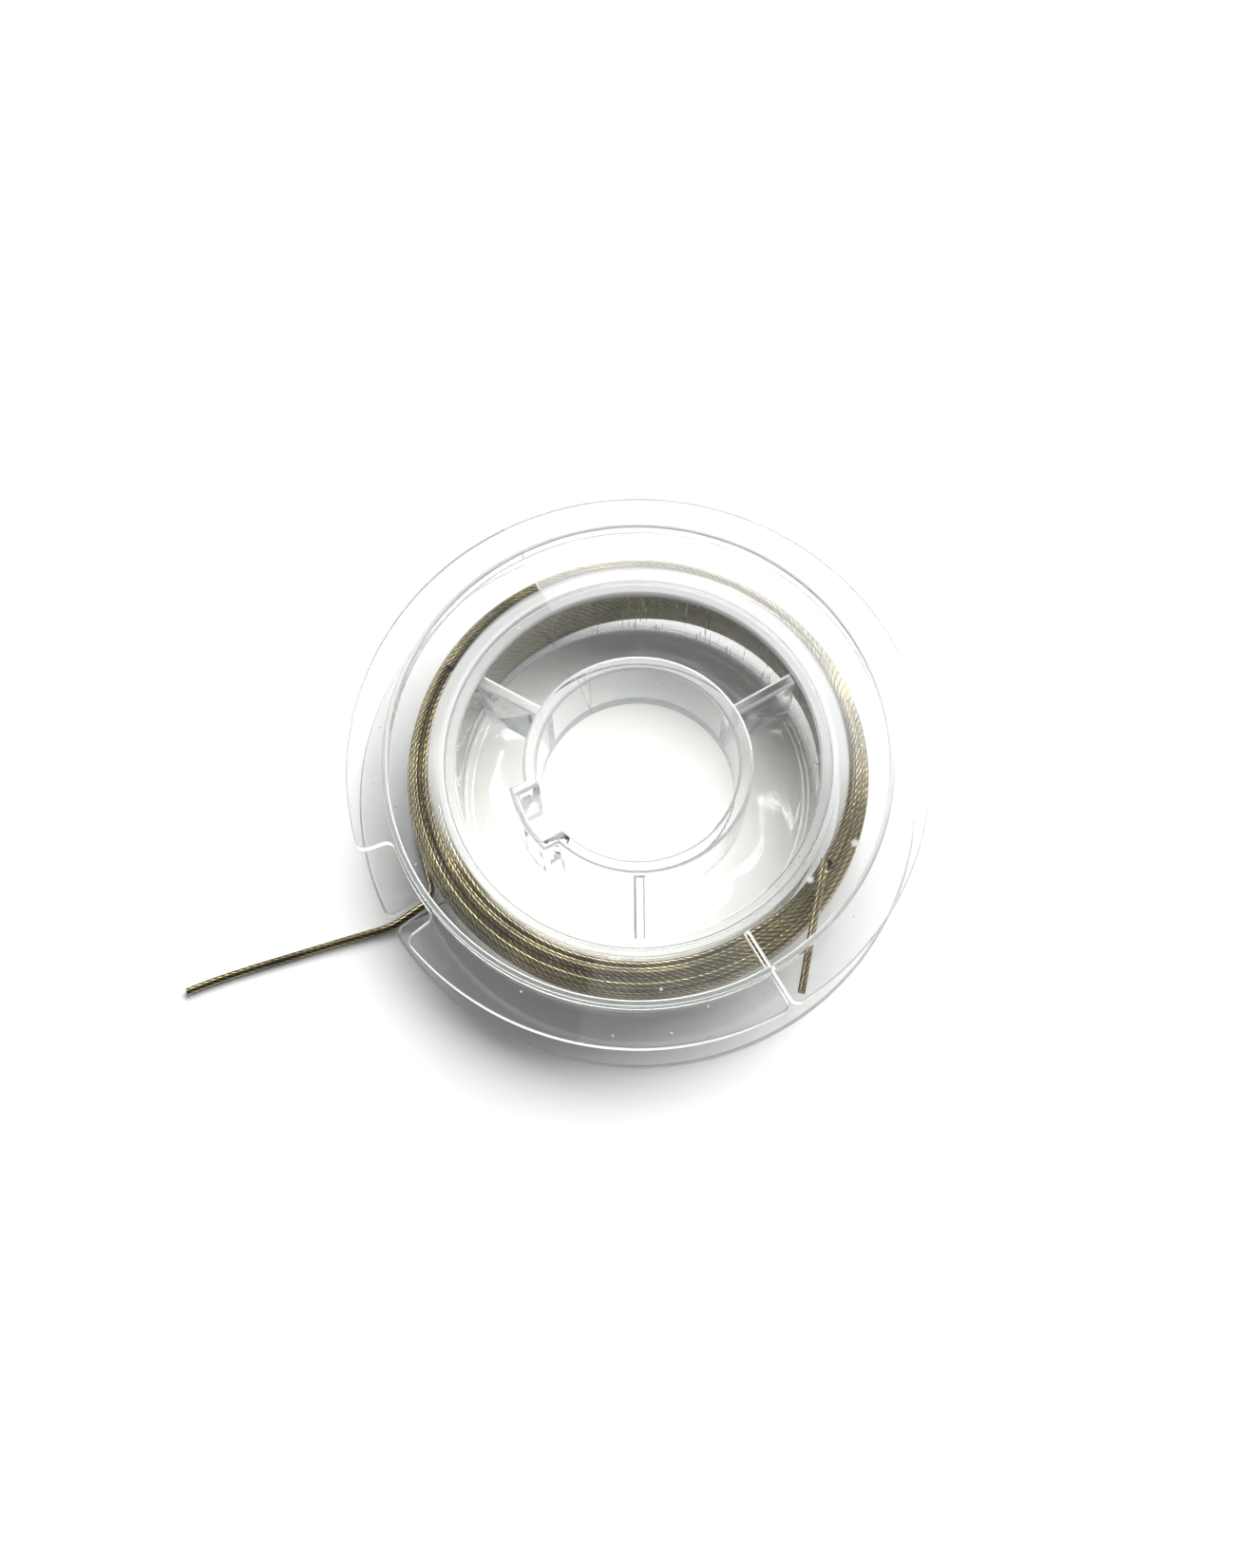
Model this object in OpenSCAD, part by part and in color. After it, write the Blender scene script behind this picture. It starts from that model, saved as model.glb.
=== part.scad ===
// Small clear craft-wire spool: a moulded base with the winding drum, an upper flange pressed on
// the drum, and a winding of stranded steel wire with both of its ends showing.
// Millimetres, +Z up, origin at the centre of the lower flange's underside.

/* [Flanges] */
// Outer diameter of both flanges
flange_d = 60; // [58:0.5:64]
// Thickness of each flange
flange_t = 1.2; // [1:0.05:1.25]
// Width over the two flanges, without the stacking ring
spool_w = 11.5; // [11.5:0.1:13]
// Radius that rounds the edges of both rims
rim_round = 0.45; // [0.2:0.05:0.45]

/* [Hub] */
// Outer diameter of the drum that the wire is wound on
drum_d = 41.4; // [40.8:0.1:41.6]
// Inner diameter of the drum wall
drum_inner_d = 37.6; // [36.6:0.1:38]
// Diameter of the spigot that the upper flange is pressed on
spigot_d = 39.9; // [39.4:0.1:40.2]
// Height of the spigot above the drum's shoulder
spigot_h = 0.7; // [0.4:0.1:1]
// Diameter of the bore
bore_d = 20.9; // [20:0.1:22]
// Wall thickness of the bore tube
bore_wall = 1.5; // [1.2:0.1:1.8]
// Height of the bore tube
bore_h = 10.3; // [9:0.1:10.5]
// Number of ribs between the bore tube and the drum
rib_count = 3; // [2:1:6]
// Thickness of a rib
rib_t = 1.3; // [1:0.1:1.8]
// Direction of the first rib
rib_az = 270.6; // [240:0.2:300]
// Height of a rib's top edge
rib_h = 9.8; // [6:0.1:10.2]

/* [Keyway] */
// Direction of the keyway's middle
key_az = 208.2; // [205:0.2:212]
// Width of the keyway between its parallel sides
key_w = 5.4; // [3:0.1:6]
// Depth of the keyway beyond the bore
key_depth = 2.4; // [1:0.1:2.6]
// Thickness of the wall at the keyway's bottom
key_wall = 0.7; // [0.6:0.1:1.4]
// Thickness of the walls at the keyway's sides
key_side_wall = 1.2; // [0.8:0.1:1.5]

/* [Slots and notch] */
// Direction of the slot that grips the outgoing wire, in the lower flange
exit_slot_az = 209.6; // [209:0.1:210]
// Width of the outgoing wire's slot
exit_slot_w = 1.3; // [1.25:0.05:1.5]
// Radius at which the outgoing wire's slot begins
exit_slot_in = 23.6; // [22.5:0.1:24]
// Direction of the slot that holds the wire's start, in the upper flange
start_slot_az = 300.4; // [298:0.1:302]
// Width of the start slot
start_slot_w = 0.7; // [0.5:0.05:1]
// Radius at which the start slot begins
start_slot_in = 21.4; // [21:0.1:23]
// Direction of the middle of the finger notch in the upper flange
notch_az = 209.3; // [207:0.1:211]
// Angle that the finger notch spans
notch_span = 20; // [12:1:24]
// Radius of the finger notch's bottom
notch_in = 26.4; // [26.3:0.1:27]
// Radius of the slots' and the notch's rounded corners
corner_r = 0.9; // [0.4:0.1:1.1]

/* [Stacking ring] */
// Middle radius of the thin ring on the upper flange
ring_r = 25.85; // [25:0.05:26]
// Thickness of the stacking ring
ring_t = 0.6; // [0.4:0.05:0.8]
// Height of the stacking ring above the upper flange
ring_h = 1.7; // [0.5:0.1:2.5]

/* [Wire] */
// Diameter of the stranded wire
wire_d = 0.8; // [0.7:0.02:0.8]
// Whole turns of the outer layer; the two ends add part of a turn
outer_turns = 6; // [3:1:6]
// Largest radius of the outer layer's centre line
layer_r = 23.7; // [23.4:0.05:23.8]
// Height at which the winding is fattest
layer_mid_z = 7; // [6:0.1:7.2]
// How fast the winding thins away from that height, in mm per mm squared
layer_fall = 0.055; // [0.03:0.005:0.06]

/* [Hidden] */

round_fn = 96;
cut = 1;                                   // how far a cutter runs past the face it opens
flange_r = flange_d / 2;
drum_r = drum_d / 2;
bore_r = bore_d / 2;
tube_r = bore_r + bore_wall;
shoulder_z = spool_w - flange_t;           // underside of the upper flange
press_gap = 0.05;                          // radial gap between the spigot and the upper flange
wire_r = wire_d / 2;
drum_gap = 0.05;                           // gap between the drum and the wound wire

// Winding: 24 rings a turn; the core keeps clear of the chords between rings.
ring_step = 15;
loop_sides = 6;
cord_sides = 8;
chord_dip = layer_r * (1 - cos(ring_step / 2));
core_gap = wire_r + chord_dip + 0.1;
core_bottom_z = flange_t + 0.05;
core_top_z = 9.3;
core_steps = 8;

// The wire's start: a straight tail under the upper flange, from the rim to the drum.
tail_z = 9.85;
tail_rim = [16.1, -24.2, tail_z];
tail_drum = [18.9, -10.4, tail_z];
tail_steps = 7;

// The wire's free end: from the winding through the slot in the lower flange and out on the
// surface that the spool stands on. The outer layer ends at the first point.
free_route = [
    [-22.9, -7.2, 1.7], [-22.7, -8, 1.7], [-22.3, -9.3, 1.7], [-21.85, -10.85, 1.7],
    [-21.75, -11.45, 1.7], [-21.9, -12, 1.68], [-22.2, -12.5, 1.6], [-22.7, -12.9, 1.45],
    [-23.4, -13.35, 1.25], [-24.2, -13.85, 0.98], [-25, -14.35, 0.75], [-25.8, -14.8, 0.57],
    [-26.6, -15.12, 0.47], [-27.6, -15.45, 0.42], [-29.2, -15.93, 0.4], [-31.2, -16.53, 0.4],
    [-33.2, -17.15, 0.4], [-35.1, -17.75, 0.4], [-37.1, -18.38, 0.4], [-39.1, -19, 0.4],
    [-41, -19.62, 0.4], [-43, -20.3, 0.4], [-44.9, -21, 0.4], [-47.1, -21.9, 0.4]
];

// ---- small vector helpers -------------------------------------------------------------
function unit(v) = v / norm(v);
function heading(v) = atan2(v[1], v[0]);
function smooth(t) = let (u = max(0, min(1, t))) u * u * (3 - 2 * u);

// ---- the outer layer's centre line ------------------------------------------------------
// It starts where the tail meets the drum, spirals out on top of the core, winds down over it
// and swells out again to meet the free end.
start_dir = unit(tail_drum - tail_rim);
end_dir = unit(free_route[1] - free_route[0]);
layer_start = tail_drum + wire_d * start_dir;
layer_end = free_route[0] - wire_d * end_dir;
start_az = heading(layer_start);
end_az = heading(layer_end) + 360 * (heading(layer_end) < start_az ? 1 : 0) + 360 * outer_turns;
start_r = norm([layer_start[0], layer_start[1]]);
end_r = norm([layer_end[0], layer_end[1]]);
sweep_deg = end_az - start_az;
layer_rings = round(sweep_deg / ring_step);
spread_deg = 130;                          // sweep over which the start reaches the full radius
swell_deg = 110;                           // sweep over which the end leaves the barrel

function barrel_r(z) = layer_r - layer_fall * pow(z - layer_mid_z, 2);
function layer_z(a) = a < spread_deg ? tail_z
    : tail_z + (layer_end[2] - tail_z) * (a - spread_deg) / (sweep_deg - spread_deg);
function layer_radius(a) = let (
        r = barrel_r(layer_z(a)),
        opened = start_r + (r - start_r) * smooth(a / spread_deg))
    opened + (end_r - r) * smooth((a - sweep_deg + swell_deg) / swell_deg);
function layer_point(i) = let (
        a = sweep_deg * i / layer_rings,
        r = layer_radius(a))
    [r * cos(start_az + a), r * sin(start_az + a), layer_z(a)];

layer_path = concat([tail_drum], [for (i = [0:layer_rings]) layer_point(i)], [free_route[0]]);
tail_path = [for (i = [0:tail_steps]) tail_rim + (tail_drum - tail_rim) * i / tail_steps];

// ---- a round tube swept along a path that never runs upright ----------------------------
function path_dir(p, i) = let (n = len(p) - 1)
    unit(p[min(i + 1, n)] - p[max(i - 1, 0)]);
function ring_points(centre, dir, r, sides) = let (
        side = unit(cross(dir, [0, 0, 1])),
        up = cross(side, dir))
    [for (k = [0:sides - 1]) let (a = 360 * k / sides) centre + r * (cos(a) * side + sin(a) * up)];
function tube_points(p, r, sides) =
    [for (i = [0:len(p) - 1]) each ring_points(p[i], path_dir(p, i), r, sides)];
function tube_walls(rings, sides) =
    [for (i = [0:rings - 2], k = [0:sides - 1]) let (
            a = i * sides + k,
            b = i * sides + (k + 1) % sides)
        each [[a, a + sides, b], [b, a + sides, b + sides]]];
function tube_caps(rings, sides) = let (last = (rings - 1) * sides)
    [for (k = [1:sides - 2]) each [[0, k, k + 1], [last, last + k + 1, last + k]]];

module tube(path, d, sides) {
    polyhedron(
        points = tube_points(path, d / 2, sides),
        faces = concat(tube_walls(len(path), sides), tube_caps(len(path), sides)),
        convexity = 10);
}

// ---- the least gap of the outer layer to itself, half a turn or more apart --------------
function segment_gap(p, a, b) = let (
        ab = b - a,
        t = max(0, min(1, ((p - a) * ab) / (ab * ab))))
    norm(p - a - t * ab);
near_turn = 180 / ring_step;
layer_gap = min([for (i = [1:layer_rings], j = [i + near_turn:1:layer_rings])
    segment_gap(layer_path[i], layer_path[j], layer_path[j + 1])]) - wire_d;
echo(least_gap_of_outer_layer_mm = layer_gap);

// ---- moulded shapes -----------------------------------------------------------------------
// A wedge of the plane between two directions.
module wedge(az, span, r) {
    polygon([[0, 0], [r * cos(az - span / 2), r * sin(az - span / 2)],
             [r * cos(az), r * sin(az)],
             [r * cos(az + span / 2), r * sin(az + span / 2)]]);
}

// A round disc whose rim is rounded above and below.
module rounded_disc(r, t, edge) {
    rotate_extrude($fn = round_fn) {
        square([r - edge, t]);
        translate([0, edge]) square([r, t - 2 * edge]);
        translate([r - edge, edge]) circle(edge, $fn = 32);
        translate([r - edge, t - edge]) circle(edge, $fn = 32);
    }
}

// The area beside a slot's mouth that rounds its corner on the rim.
module mouth_corner(r, corner) {
    difference() {
        translate([r - corner, 0]) square([corner + cut, corner]);
        translate([r - corner, corner]) circle(corner, $fn = 48);
    }
}

// A slot from a round end to a rim, with both corners of its mouth rounded.
module rim_slot(az, w, r_in, r_out, corner) {
    rotate(az) {
        translate([r_in, 0]) circle(w / 2, $fn = 32);
        translate([r_in, -w / 2]) square([r_out - r_in + cut, w]);
        translate([0, w / 2]) mouth_corner(r_out, corner);
        mirror([0, 1]) translate([0, w / 2]) mouth_corner(r_out, corner);
    }
}

// The rounded corner between a side of the finger notch and its bottom.
module notch_fillet(r_in, corner) {
    difference() {
        translate([r_in - cut, -corner]) square([corner + cut, corner + cut]);
        translate([r_in + corner, -corner]) circle(corner, $fn = 48);
    }
}

// The finger notch: a wedge of the rim down to a round bottom.
module rim_notch(az, span, r_in, r_out, corner) {
    difference() {
        wedge(az, span, r_out + 4);
        circle(r_in, $fn = round_fn);
        rotate(az + span / 2) notch_fillet(r_in, corner);
        rotate(az - span / 2) mirror([0, 1]) notch_fillet(r_in, corner);
    }
    rotate(az + span / 2) mouth_corner(r_out, corner);
    rotate(az - span / 2) mirror([0, 1]) mouth_corner(r_out, corner);
}

// ---- the pieces ---------------------------------------------------------------------------
// A parallel-sided key shape with a round outer end, from the axis outwards.
module key_shape(r, w, z, h) {
    translate([0, 0, z]) linear_extrude(h) intersection() {
        circle(r, $fn = round_fn);
        rotate(key_az) translate([0, -w / 2]) square([r, w]);
    }
}

module drum_wall() {
    cylinder(h = shoulder_z, r = drum_r, $fn = round_fn);
    cylinder(h = shoulder_z + spigot_h, d = spigot_d, $fn = round_fn);
}

module hub_pocket() {
    translate([0, 0, flange_t])
        cylinder(h = spool_w, d = drum_inner_d, $fn = round_fn);
}

module rib(az) {
    rotate(az) translate([tube_r - 0.3, -rib_t / 2, flange_t / 2])
        cube([drum_inner_d / 2 - tube_r + 0.6, rib_t, rib_h - flange_t / 2]);
}

module spool_base() {
    color([0.93, 0.95, 0.97, 0.4]) difference() {
        union() {
            rounded_disc(flange_r, flange_t, rim_round);
            difference() {
                drum_wall();
                hub_pocket();
            }
            cylinder(h = bore_h, r = tube_r, $fn = round_fn);
            key_shape(bore_r + key_depth + key_wall, key_w + 2 * key_side_wall, 0, bore_h);
            for (i = [0:rib_count - 1]) rib(rib_az + 360 * i / rib_count);
        }
        translate([0, 0, -cut]) cylinder(h = spool_w + 2 * cut, r = bore_r, $fn = round_fn);
        key_shape(bore_r + key_depth, key_w, -cut, spool_w + 2 * cut);
        translate([0, 0, -cut]) linear_extrude(flange_t + 2 * cut)
            rim_slot(exit_slot_az, exit_slot_w, exit_slot_in, flange_r, corner_r);
    }
}

module upper_flange() {
    color([0.93, 0.95, 0.97, 0.4]) translate([0, 0, shoulder_z]) difference() {
        union() {
            rounded_disc(flange_r, flange_t, rim_round);
            cylinder(h = flange_t + ring_h, r = ring_r + ring_t / 2, $fn = round_fn);
        }
        translate([0, 0, flange_t])
            cylinder(h = ring_h + cut, r = ring_r - ring_t / 2, $fn = round_fn);
        translate([0, 0, -cut])
            cylinder(h = flange_t + 2 * cut, d = spigot_d + 2 * press_gap, $fn = round_fn);
        translate([0, 0, -cut]) linear_extrude(flange_t + ring_h + 2 * cut) {
            rim_slot(start_slot_az, start_slot_w, start_slot_in, flange_r, corner_r);
            rim_notch(notch_az, notch_span, notch_in, flange_r, corner_r);
        }
    }
}

// The inner layers of wire, as one plain barrel round the drum.
module wire_core() {
    inner_r = drum_r + drum_gap;
    heights = [for (i = [0:core_steps])
        core_bottom_z + (core_top_z - core_bottom_z) * i / core_steps];
    color([0.45, 0.42, 0.33]) rotate_extrude($fn = round_fn)
        polygon(concat([[inner_r, core_bottom_z]],
                       [for (z = heights) [max(inner_r + 0.1, barrel_r(z) - core_gap), z]],
                       [[inner_r, core_top_z]]));
}

// The last layer of wire, turn by turn.
module wire_outer_layer() {
    color([0.5, 0.47, 0.38]) tube(layer_path, wire_d, loop_sides);
}

module wire_start_tail() {
    color([0.5, 0.47, 0.38]) tube(tail_path, wire_d, cord_sides);
}

module wire_free_end() {
    color([0.5, 0.47, 0.38]) tube(free_route, wire_d, cord_sides);
}

spool_base();
upper_flange();
wire_core();
wire_outer_layer();
wire_start_tail();
wire_free_end();
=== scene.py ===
"""Looks of a small clear craft-wire spool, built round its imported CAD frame.

Sizes are in millimetres until a mesh is finished, and in metres from then on. The origin is the
centre of the lower flange's underside and +Z is the spool's axis.
"""

import logging
import math
from collections.abc import Callable
from dataclasses import dataclass
from enum import Enum

import bmesh
import bpy
from bmesh.types import BMesh, BMEdge, BMFace, BMVert
from bpy.types import ID, Material, Mesh, Node, NodeSocket, NodeTree, Object
from mathutils import Matrix, Vector

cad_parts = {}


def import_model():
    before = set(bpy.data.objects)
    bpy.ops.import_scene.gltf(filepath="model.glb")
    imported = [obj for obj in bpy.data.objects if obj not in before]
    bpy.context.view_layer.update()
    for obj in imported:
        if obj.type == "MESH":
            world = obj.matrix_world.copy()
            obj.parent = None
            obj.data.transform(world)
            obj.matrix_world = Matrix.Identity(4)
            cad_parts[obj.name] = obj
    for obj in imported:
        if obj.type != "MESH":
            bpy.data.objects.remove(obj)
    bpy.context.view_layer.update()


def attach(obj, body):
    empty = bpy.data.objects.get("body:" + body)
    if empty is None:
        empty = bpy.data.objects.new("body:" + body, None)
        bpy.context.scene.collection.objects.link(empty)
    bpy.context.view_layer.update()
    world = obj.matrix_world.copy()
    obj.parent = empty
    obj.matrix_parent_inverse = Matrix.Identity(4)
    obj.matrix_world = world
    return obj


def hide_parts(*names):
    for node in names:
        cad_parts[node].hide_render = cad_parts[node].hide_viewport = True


MM = 0.001
HAIR = 1e-4  # millimetres: closer points are one point, and a hard limit is this wide
CREASE_DEG = 38  # the mouldings' edges that turn more than this are kept crisp
WIRE_CREASE_DEG = 60  # the same for the wire, so that only its cut ends are crisp
LEVEL = 0.9  # a face lies level where its normal points up or down at least this much
BODY = "root"
LOG = logging.getLogger("craft_wire_spool")

Source = Node | NodeSocket
Triple = tuple[float, float, float]


class Slot(Enum):
    """The record's material slots."""

    PLASTIC = "clear_plastic"
    WIRE = "coated_wire"


# ---- colours and nodes ---------------------------------------------------------------------
def linear(code: str) -> tuple[float, float, float, float]:
    """Turn an sRGB hex colour into linear values.

    Args:
        code: The colour as "#rrggbb".

    Returns:
        Linear red, green and blue, with an alpha of 1.
    """
    values = [int(code[i : i + 2], 16) / 255 for i in (1, 3, 5)]
    red, green, blue = (v / 12.92 if v <= 0.04045 else ((v + 0.055) / 1.055) ** 2.4 for v in values)
    return red, green, blue, 1.0


def add_node(
    tree: NodeTree, kind: str, settings: dict | None = None, links: dict | None = None
) -> Node:
    """Add one shader node.

    Args:
        tree: The node tree that gets the node.
        kind: The node's type without its "ShaderNode" prefix.
        settings: Values by property name, or by the name or number of an input.
        links: What feeds each input, by the input's name or number: an output socket, or a node,
            which stands for its first output.

    Returns:
        The new node.
    """
    node = tree.nodes.new("ShaderNode" + kind)
    for key, value in (settings or {}).items():
        if isinstance(key, int) or key in node.inputs:
            node.inputs[key].default_value = value
        else:
            setattr(node, key, value)
    for key, source in (links or {}).items():
        output = source.outputs[0] if isinstance(source, Node) else source
        tree.links.new(output, node.inputs[key])
    return node


def empty_material(name: str) -> tuple[Material, NodeTree]:
    """Make a material without nodes.

    Args:
        name: What it is called.

    Returns:
        The material and its node tree.
    """
    material = bpy.data.materials.new(name)
    material.use_nodes = True
    material.node_tree.nodes.clear()
    return material, material.node_tree


def let_light_by(tree: NodeTree, surface: Source, shade: str) -> None:
    """Finish a clear material: a lamp's light and soft light pass straight through it.

    Args:
        tree: The material's node tree.
        surface: The shader that all other rays meet.
        shade: The colour of white light once it has passed.
    """
    through = add_node(tree, "BsdfTransparent", {"Color": linear(shade)})
    path = add_node(tree, "LightPath").outputs
    for ray in ("Is Shadow Ray", "Is Diffuse Ray"):
        surface = add_node(tree, "MixShader", links={0: path[ray], 1: surface, 2: through})
    add_node(tree, "OutputMaterial", links={"Surface": surface})


# ---- finishes -------------------------------------------------------------------------------
@dataclass(frozen=True)
class Ramp:
    """A value that runs from first to last while what it goes by runs from start to end."""

    start: float
    end: float
    first: float = 0.0
    last: float = 1.0

    def settings(self, unit: float = 1.0) -> dict[str, float]:
        """Return the ramp as a node has it, with start and end in a unit."""
        start, end = self.start * unit, self.end * unit
        return {"From Min": start, "From Max": end, "To Min": self.first, "To Max": self.last}


def past(place: float) -> Ramp:
    """Return 0 up to a place and 1 past it."""
    return Ramp(place, place + HAIR)


def short_of(place: float) -> Ramp:
    """Return 1 short of a place and 0 from it on."""
    return Ramp(place - HAIR, place, 1.0, 0.0)


class Measure(Enum):
    """What a mark on the plastic goes by, in millimetres unless it says otherwise."""

    PLACE = "the point itself"
    UP = "height over the table"
    BACK = "distance behind the axis"
    RADIUS = "distance from the axis"
    WALL = "distance from the inside of the drum's wall"
    RIGHT = "distance to the right of the seam"
    SEAM = "distance from the seam"
    FILM = "distance towards the film"
    PATCH = "distance to the right of the patch's edge"
    SCUFF = "distance from a scuff"
    DUST = "distance from a speck of dust, in spacings"
    DRAG = "depth of the mould's drag marks, from 0 to 1"


Mark = tuple[tuple[Measure, Ramp], ...]


@dataclass(frozen=True)
class ClearPolystyrene:
    """Crystal polystyrene: clear and glossy, with dust, scuffs, a dull film on one half and painted
    glare.

    Each mark on it is the product of its ramps.
    """

    name: str = "moulded_clear_polystyrene"
    tint: str = "#fdfefe"
    shade: str = "#f9f9f8"
    ior: float = 1.59
    gloss: float = 0.015
    film_roughness: float = 0.42
    film_ior: float = 2.1
    film_az: float = 70.0
    seam_az: float = 118.5
    patch_az: float = 258.0
    wall_r: float = 18.8
    dust_gap: float = 3.1
    drag_gap: float = 0.35
    drag_drawn: float = 0.07
    scuff_white: float = 0.6
    scuff_core: float = 0.4
    scuffs: tuple[tuple[float, float, float, float], ...] = (  # a centre and a radius
        (21.9, -9.1, 11.5, 0.55),
        (17.2, -12.9, 11.5, 0.5),
        (18.9, -12.1, 11.5, 0.2),
        (2.2, -24.1, 11.5, 0.25),
    )
    film: Mark = (
        (Measure.FILM, Ramp(3.0, 15.0)),
        (Measure.RIGHT, Ramp(-0.1, 0.1)),
        (Measure.UP, past(10.2)),
    )
    dust: Mark = ((Measure.DUST, Ramp(0.025, 0.045, 0.8, 0.0)),)
    flow_line: Mark = (
        (Measure.SEAM, Ramp(0.02, 0.07, 0.45, 0.0)),
        (Measure.BACK, past(0.0)),
    )
    patch: Mark = (
        (Measure.PATCH, Ramp(0.0, 0.3, 0.0, 0.045)),
        (Measure.RIGHT, short_of(0.0)),
        (Measure.UP, past(11.4)),
    )
    drag: Mark = (
        (Measure.DRAG, Ramp(0.58, 0.7, 0.0, 0.7)),
        (Measure.WALL, short_of(0.2)),
        (Measure.RIGHT, Ramp(0.0, 9.0)),
    )
    # painted glare: a milky white band over the winding's inner edge, on the upper flange's back
    # half only, where the wire's highlight is
    painted_glare_band: Mark = (
        (Measure.RADIUS, Ramp(21.45, 21.75, 0.45, 0.0)),
        (Measure.RADIUS, past(18.5)),
        (Measure.BACK, Ramp(-12.0, 0.0)),
        (Measure.UP, past(10.2)),
    )

    def material(self) -> Material:
        """Build the material: it bends light, is milky where worn, and half has a dull film."""
        material, tree = empty_material(self.name)
        at = self.measures(tree)
        film = self.paint(tree, at, self.film)
        clear = add_node(tree, "Math", {"operation": "SUBTRACT", 0: 1.0}, {1: self.milky(tree, at)})
        glass = add_node(
            tree,
            "BsdfPrincipled",
            {
                "Base Color": linear(self.tint),
                "IOR": self.ior,
                "Roughness": self.gloss,
                "Coat Roughness": self.film_roughness,
                "Coat IOR": self.film_ior,
            },
            {"Transmission Weight": clear, "Coat Weight": film},
        )
        let_light_by(tree, glass, self.shade)
        return material

    def measures(self, tree: NodeTree) -> dict[Measure, Source]:
        """Measure where on the spool a point of the plastic lies, and how worn it is there.

        Args:
            tree: The material's node tree.

        Returns:
            Every measure but the distance from a scuff, of which there are several.
        """
        metres = add_node(tree, "TexCoord").outputs["Object"]
        place = add_node(
            tree, "VectorMath", {"operation": "MULTIPLY", 1: [1 / MM] * 3}, {0: metres}
        )
        _, back, up = add_node(tree, "SeparateXYZ", links={0: place}).outputs
        flat, drawn = (
            add_node(tree, "VectorMath", {"operation": "MULTIPLY", 1: (1, 1, z)}, {0: place})
            for z in (0, self.drag_drawn)
        )
        radius = add_node(tree, "VectorMath", {"operation": "LENGTH"}, {0: flat}).outputs["Value"]
        at = {Measure.PLACE: place, Measure.UP: up, Measure.BACK: back, Measure.RADIUS: radius}
        for measure, az in (
            (Measure.RIGHT, self.seam_az - 90),
            (Measure.FILM, self.film_az),
            (Measure.PATCH, self.patch_az + 90),
        ):
            way = {"operation": "DOT_PRODUCT", 1: (*polar(1, az), 0)}
            at[measure] = add_node(tree, "VectorMath", way, {0: place}).outputs["Value"]
        for measure, source, middle in (
            (Measure.SEAM, at[Measure.RIGHT], 0.0),
            (Measure.WALL, radius, self.wall_r),
        ):
            off = add_node(tree, "Math", {"operation": "SUBTRACT", 1: middle}, {0: source})
            at[measure] = add_node(tree, "Math", {"operation": "ABSOLUTE"}, {0: off})
        at[Measure.DUST] = add_node(
            tree, "TexVoronoi", {"Scale": 1 / self.dust_gap}, {"Vector": place}
        )
        at[Measure.DRAG] = add_node(
            tree, "TexNoise", {"Scale": 1 / self.drag_gap, "Detail": 2.0}, {"Vector": drawn}
        )
        return at

    def paint(self, tree: NodeTree, at: dict[Measure, Source], mark: Mark) -> Source:
        """Paint one mark.

        Args:
            tree: The material's node tree.
            at: The measures that the mark's ramps go by.
            mark: The mark.

        Returns:
            How strong the mark is, from 0 to 1.
        """
        share, *others = [
            add_node(tree, "MapRange", ramp.settings(), {"Value": at[measure]})
            for measure, ramp in mark
        ]
        for other in others:
            share = add_node(tree, "Math", {"operation": "MULTIPLY"}, {0: share, 1: other})
        return share

    def milky(self, tree: NodeTree, at: dict[Measure, Source]) -> Source:
        """Paint everything that turns the plastic milky, and the painted glare band, which is milky
        white too.

        Args:
            tree: The material's node tree.
            at: The measures that the marks go by.

        Returns:
            A share from 0, clear, to 1, white.
        """
        marks = [(at, mark) for mark in (self.flow_line, self.patch, self.drag, self.painted_glare_band)]
        for *centre, radius in self.scuffs:
            middle = {"operation": "DISTANCE", 1: centre}
            away = add_node(tree, "VectorMath", middle, {0: at[Measure.PLACE]}).outputs["Value"]
            ramp = Ramp(self.scuff_core * radius, radius, self.scuff_white, 0.0)
            marks.append(({Measure.SCUFF: away}, ((Measure.SCUFF, ramp),)))
        share = self.paint(tree, at, self.dust)
        for measured, mark in marks:
            other = self.paint(tree, measured, mark)
            share = add_node(tree, "Math", {"operation": "MAXIMUM"}, {0: share, 1: other})
        return share


@dataclass(frozen=True)
class LitEdge:
    """The same plastic at its rounded edges, with a painted white glow that stands in for light
    piped through it.
    """

    name: str = "painted_glow_plastic_edge"
    tint: str = "#fbfdfe"
    shade: str = "#f9f9f8"
    ior: float = 1.59
    roughness: float = 0.12
    clear: float = 0.4
    painted_glow: Ramp = Ramp(-12.0, 12.0, 0.85, 0.12)  # painted glow, from the front to the back
    from_lamp: Triple = (-0.33, -0.65, -0.68)

    def material(self) -> Material:
        """Build the material: part clear, and part a painted glow, lit from the lamp's side, less
        so far back.
        """
        material, tree = empty_material(self.name)
        face = add_node(
            tree,
            "BsdfPrincipled",
            {
                "Base Color": linear(self.tint),
                "IOR": self.ior,
                "Roughness": self.roughness,
                "Transmission Weight": self.clear,
            },
        )
        # painted glow: this fixed normal faces away from the lamp, so the translucent share is lit
        # from behind whichever way the face turns
        away = add_node(tree, "CombineXYZ", dict(enumerate(self.from_lamp)))
        behind = add_node(tree, "BsdfTranslucent", {"Color": linear(self.tint)}, {"Normal": away})
        place = add_node(tree, "TexCoord").outputs["Object"]
        back = add_node(tree, "SeparateXYZ", links={0: place}).outputs[1]
        painted_glow = add_node(tree, "MapRange", self.painted_glow.settings(MM), {"Value": back})
        both = add_node(tree, "MixShader", links={0: painted_glow, 1: face, 2: behind})
        let_light_by(tree, both, self.shade)
        return material


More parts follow.
